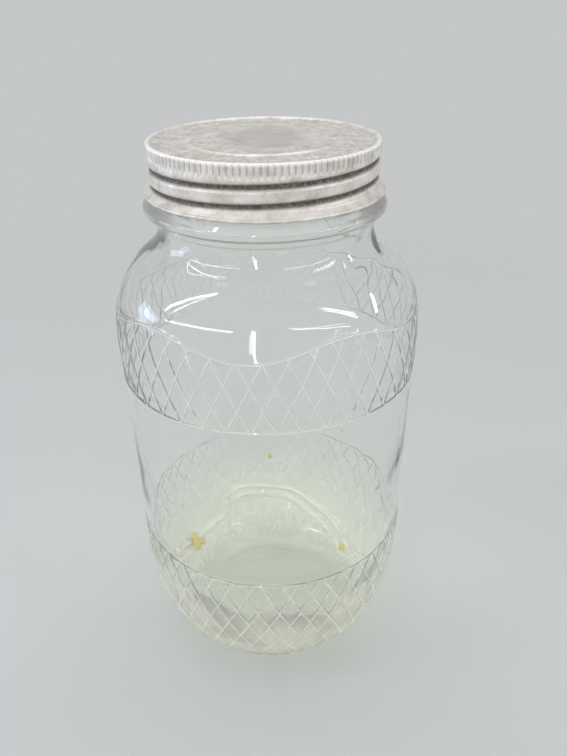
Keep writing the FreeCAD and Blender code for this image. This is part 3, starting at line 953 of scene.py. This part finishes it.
def makeFloor():
    print("floor and light")
    data = bpy.data.meshes.new("floor")
    mesh = bmesh.new()
    bmesh.ops.create_circle(mesh, cap_ends=True, segments=96, radius=studio["floorRadius"])
    mesh.to_mesh(data)
    mesh.free()
    floor = bpy.data.objects.new("floor", data)
    bpy.context.scene.collection.objects.link(floor)
    floor.location.z = -0.0002
    material, tree = newMaterial("matteStudioFloor")
    place = addNode(tree, "ShaderNodeTexCoord")
    away = addNode(tree, "ShaderNodeVectorMath", {"operation": "LENGTH"}, i0=place.outputs["Object"])
    fadeOut = addNode(tree, "ShaderNodeMapRange", {"From Min": studio["floorFade"][0],
                      "From Max": studio["floorFade"][1]}, Value=away.outputs["Value"])
    matte = addNode(tree, "ShaderNodeBsdfDiffuse", {"Color": toLinear(studio["floorColour"])})
    clear = addNode(tree, "ShaderNodeBsdfTransparent")
    mixed = addNode(tree, "ShaderNodeMixShader", None, i0=fadeOut.outputs["Result"], i1=matte.outputs["BSDF"],
                    i2=clear.outputs["BSDF"])
    addNode(tree, "ShaderNodeOutputMaterial", None, Surface=mixed.outputs["Shader"])
    data.materials.append(material)


def makeWorld():
    # the backdrop's colour is what the eye, the glass and the metal see; a plain fill lights the rest
    world = bpy.data.worlds.new("studio")
    world.use_nodes = True
    tree = world.node_tree
    tree.nodes.clear()
    path = addNode(tree, "ShaderNodeLightPath")
    either = addNode(tree, "ShaderNodeMath", {"operation": "ADD", "use_clamp": True},
                     i0=path.outputs["Is Camera Ray"], i1=path.outputs["Is Transmission Ray"])
    seen = addNode(tree, "ShaderNodeMath", {"operation": "ADD", "use_clamp": True},
                   i0=either.outputs[0], i1=path.outputs["Is Glossy Ray"])
    fill = addNode(tree, "ShaderNodeBackground",
                   {"Color": toLinear("#FFFFFF"), "Strength": studio["fillStrength"]})
    back = addNode(tree, "ShaderNodeBackground",
                   {"Color": toLinear(studio["backdropColour"]), "Strength": 1.0})
    mixed = addNode(tree, "ShaderNodeMixShader", None, i0=seen.outputs[0], i1=fill.outputs["Background"],
                    i2=back.outputs["Background"])
    addNode(tree, "ShaderNodeOutputWorld", None, Surface=mixed.outputs["Shader"])
    bpy.context.scene.world = world


def addLamp(name, start, end, across, power, colour="#FFFFFF", aim=(0, 0, 0.17)):
    # a flat lamp that runs from start to end and faces the jar
    start, end, aim = Vector(start), Vector(end), Vector(aim)
    light = bpy.data.lights.new(name, "AREA")
    light.shape = "RECTANGLE"
    light.size, light.size_y = (end - start).length, across
    light.energy = power
    light.color = toLinear(colour)[:3]
    lamp = bpy.data.objects.new(name, light)
    bpy.context.scene.collection.objects.link(lamp)
    along = (end - start).normalized()
    middle = (start + end) / 2
    back = (middle - aim).normalized()
    back = (back - along * along.dot(back)).normalized()
    turned = Matrix((along, back.cross(along), back)).transposed().to_4x4()
    lamp.matrix_world = Matrix.Translation(middle) @ turned


def makeLamps():
    # a soft ceiling panel, and strips whose reflections streak the shoulder
    addLamp("ceiling_panel", (-0.9, 0.35, 1.9), (0.9, 0.35, 1.9), 1.2, studio["ceilingPower"])
    addLamp("front_strip", (-0.201, -1.12, 0.22), (-0.188, -1.068, 0.80), 0.050, 1.3)
    for step in (0.0, 0.10):
        number = int(step > 0)
        addLamp("left_tube_%d" % number, (-1.26, -0.10, 0.63 + step),
                (-0.66, -0.32, 1.29 + step), 0.028, 1.15)
        addLamp("right_tube_%d" % number, (0.82, -0.63, 1.03 + step), (1.21, -0.40, 0.62 + step), 0.028, 0.75)
    addLamp("low_left_tube", (-1.29, -0.20, 0.50), (-0.53, -1.08, 0.79), 0.026, 1.3)
    addLamp("low_right_tube", (0.38, -1.11, 0.845), (1.15, -0.61, 0.55), 0.022, 0.9)
    addLamp("far_right_tube", (1.18, 0.12, 0.79), (1.31, -0.06, 0.47), 0.05, 0.8)
    addLamp("left_window", (-1.25, 0.44, 0.34), (-1.34, 0.01, 0.27), 0.26, 1.6, "#C9DBFF")


view = {                       # millimetres and degrees
    "place": (0.0, -269.19, 286.68),
    "down": 29.931,
    "turned": 1.348,
    "rolled": -0.6495,
    "lens": 33.333,
}


def makeCamera():
    print("camera")
    down, turned, rolled = [math.radians(view[name]) for name in ("down", "turned", "rolled")]
    forward = Vector((math.sin(turned) * math.cos(down), math.cos(turned) * math.cos(down), -math.sin(down)))
    level = Vector((math.cos(turned), -math.sin(turned), 0))
    upright = level.cross(forward)
    right = level * math.cos(rolled) + upright * math.sin(rolled)
    up = upright * math.cos(rolled) - level * math.sin(rolled)
    data = bpy.data.cameras.new("camera")
    data.lens = view["lens"]
    data.sensor_width = 36
    data.clip_start = 0.01
    camera = bpy.data.objects.new("camera", data)
    bpy.context.scene.collection.objects.link(camera)
    aimed = Matrix((right, up, -forward)).transposed().to_4x4()
    camera.matrix_world = Matrix.Translation(Vector(view["place"]) * mm) @ aimed
    bpy.context.scene.camera = camera


makeCamera()
jar, insidePlace = makeGlass()
jar.data.materials.append(clearGlass())
cap = makeCap()
cap.data.materials.append(wornSteelWithPaintedLight())
makeCrumbs(insidePlace)
makeFloor()
makeWorld()
makeLamps()
bpy.context.scene.view_settings.view_transform = "Standard"
